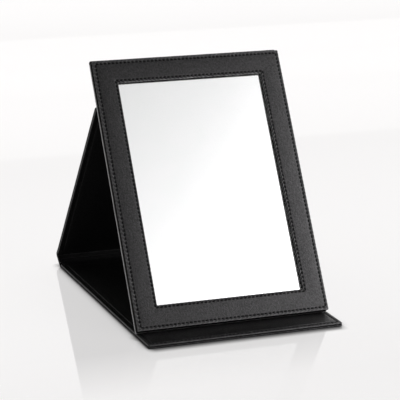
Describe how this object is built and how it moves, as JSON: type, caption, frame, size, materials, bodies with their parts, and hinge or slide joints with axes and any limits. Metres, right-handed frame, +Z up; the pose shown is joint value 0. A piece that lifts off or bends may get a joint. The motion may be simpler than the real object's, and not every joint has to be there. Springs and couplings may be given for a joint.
{
  "type": "folding countertop mirror",
  "caption": "Rectangular vanity mirror in a stitched black leatherette frame on a fold-out cover that forms its base and rear leg.",
  "frame": {"origin": "on the underside of the base, at the middle of the whole footprint (base and spine)", "axes": "+Z up, -Y the way the mirror glass faces, +X to the right seen from the front"},
  "size_m": [0.1867, 0.2851, 0.2283],
  "materials": {
    "leatherette": "satin",
    "lining": "matte",
    "thread": "satin",
    "greyboard": "matte",
    "mirror": "mirror",
    "tape": "matte",
    "magnet": "satin",
    "steel_plate": "satin"
  },
  "bodies": {
    "base": {"base_cover": "leatherette", "base_board": "greyboard", "base_lining": "lining", "base_stitching": "thread", "closure_magnets": "magnet"},
    "spine": {"spine_cover": "leatherette", "spine_board": "greyboard", "spine_lining": "lining", "base_hinge": "leatherette", "leg_hinge": "leatherette"},
    "leg": {"leg_cover": "leatherette", "leg_board": "greyboard", "leg_lining": "lining", "leg_stitching": "thread", "crease_hinge": "leatherette"},
    "mirror_panel": {"frame_cover": "leatherette", "frame_board": "greyboard", "mirror_glass": "mirror", "glass_tape": "tape", "filler_card": "greyboard", "joining_tape": "tape", "back_cover": "leatherette", "backing_board": "greyboard", "top_strip": "leatherette", "outer_stitching": "thread", "inner_stitching": "thread", "closure_plates": "steel_plate"}
  },
  "joints": [
    {"name": "cover_hinge", "type": "hinge", "parent": "base", "child": "spine", "pos_m": [0, 0.13064, 0.0022], "axis": [-1, 0, 0], "range_deg": [0, 36]},
    {"name": "stand_fold", "type": "hinge", "parent": "spine", "child": "leg", "pos_m": [0, 0.14128, 0.01051], "axis": [-1, 0, 0], "range_deg": [0, 29]},
    {"name": "crease_fold", "type": "hinge", "parent": "leg", "child": "mirror_panel", "pos_m": [0, 0.0001, 0.187], "axis": [1, 0, 0], "range_deg": [0, 65.2]}
  ],
  "couplings": [
    {"joint": "crease_fold", "follows": "stand_fold", "ratio": 2.24}
  ]
}
